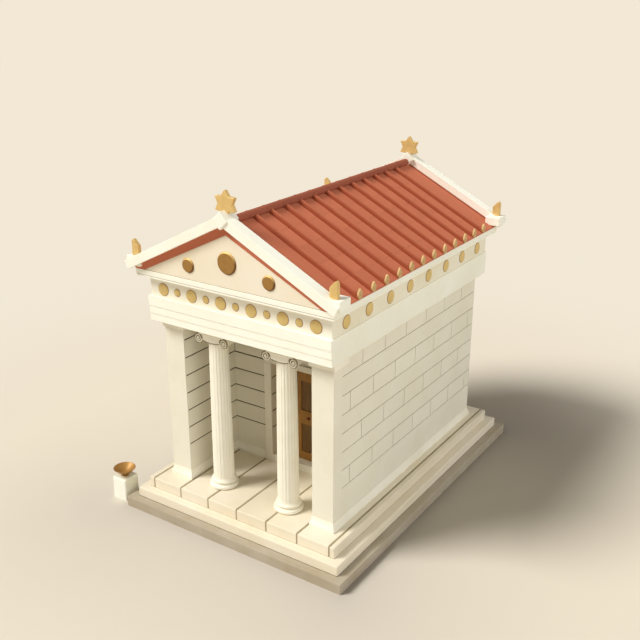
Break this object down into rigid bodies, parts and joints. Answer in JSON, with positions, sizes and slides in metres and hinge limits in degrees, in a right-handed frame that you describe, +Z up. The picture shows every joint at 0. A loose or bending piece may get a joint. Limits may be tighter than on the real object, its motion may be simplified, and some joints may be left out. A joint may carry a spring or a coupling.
{
  "type": "ionic treasury",
  "caption": "Small Greek treasury of marble: a columned porch between antae, one room with a double door, and a gabled tile roof.",
  "frame": {"origin": "on the ground, at the middle of the foundation course", "axes": "+X along the front to the right when facing the door, +Y from the porch to the rear wall, +Z up"},
  "size_m": [6.7725, 8.61, 8.1231],
  "materials": {
    "marble": "honed marble mouldings and trim",
    "step_marble": "worn marble steps and paving",
    "ashlar_marble": "dressed marble blocks with open joints",
    "tympanum_stone": "cream limewashed stone",
    "foundation_stone": "tan limestone, tooled",
    "roof_tile": "fired clay, matt",
    "gilding": "gilded bronze, satin",
    "bronze": "patinated bronze",
    "door_frame_wood": "oiled wood with bronze sheeting",
    "door_panel_wood": "dark oiled wood"
  },
  "bodies": {
    "root": {"foundation_course": "foundation_stone", "lower_step": "step_marble", "stylobate_slabs": "step_marble", "left_wall": "ashlar_marble", "right_wall": "ashlar_marble", "rear_wall": "ashlar_marble", "door_wall_piers": "ashlar_marble", "door_wall_over": "ashlar_marble", "foot_moulding_left": "marble", "foot_moulding_right": "marble", "anta_capitals": "marble", "column_bases": "marble", "column_shafts": "marble", "column_capitals": "marble", "threshold": "marble", "door_casing": "marble", "front_architrave": "marble", "rear_architrave": "marble", "side_architraves": "marble", "frieze_ends": "marble", "frieze_sides": "marble", "frieze_discs": "gilding", "bed_mouldings": "marble", "cornice_ends": "marble", "cornice_sides": "marble", "tympana": "tympanum_stone", "gable_discs": "bronze", "left_roof_slope": "roof_tile", "right_roof_slope": "roof_tile", "ridge_cover": "roof_tile", "front_raking_cornices": "marble", "rear_raking_cornices": "marble", "ridge_blocks": "marble", "corner_blocks": "marble", "ridge_stars": "gilding", "corner_leaves": "gilding", "antefixes": "gilding", "altar_block": "marble", "offering_bowl": "bronze"},
    "left_leaf": {"left_leaf_frame": "door_frame_wood", "left_leaf_panels": "door_panel_wood", "left_leaf_boss": "bronze"},
    "right_leaf": {"right_leaf_frame": "door_frame_wood", "right_leaf_panels": "door_panel_wood", "right_leaf_boss": "bronze"}
  },
  "joints": [
    {"name": "left_leaf_hinge", "type": "hinge", "parent": "root", "child": "left_leaf", "pos_m": [-0.588, -1.385, 0.93], "axis": [0, 0, 1], "range_deg": [0, 90]},
    {"name": "right_leaf_hinge", "type": "hinge", "parent": "root", "child": "right_leaf", "pos_m": [0.588, -1.385, 0.93], "axis": [0, 0, -1], "range_deg": [0, 90]}
  ]
}
